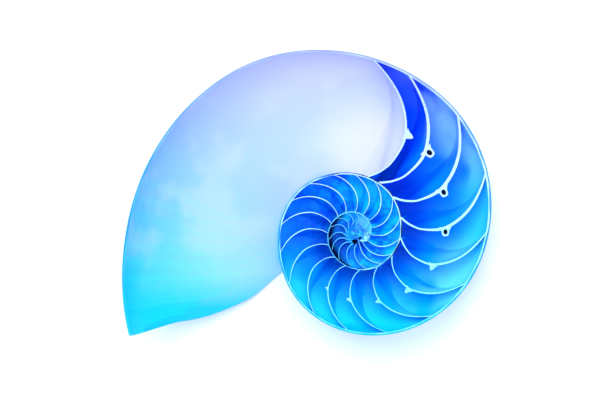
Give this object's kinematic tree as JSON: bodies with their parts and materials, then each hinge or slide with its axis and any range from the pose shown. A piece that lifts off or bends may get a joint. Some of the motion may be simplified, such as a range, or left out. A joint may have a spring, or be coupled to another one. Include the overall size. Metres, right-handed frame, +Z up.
{
  "type": "nautilus shell half",
  "caption": "Half of a nautilus shell, sawn down the middle to show its coiled chambers, in blue nacre. It lies on its flank with the cut face up.",
  "frame": {"origin": "middle of the bounding box, on the surface that the shell lies on", "axes": "+Z up, out of the sawn face but for its resting tilt; +X along the greatest length, from the mouth's tip towards the chambers; +Y the way that is up in a picture of the sawn face"},
  "size_m": [0.1644, 0.1288, 0.0506],
  "materials": {
    "nacre": "gloss"
  },
  "bodies": {
    "root": {"nautilus_shell_half": "nacre"}
  },
  "joints": []
}
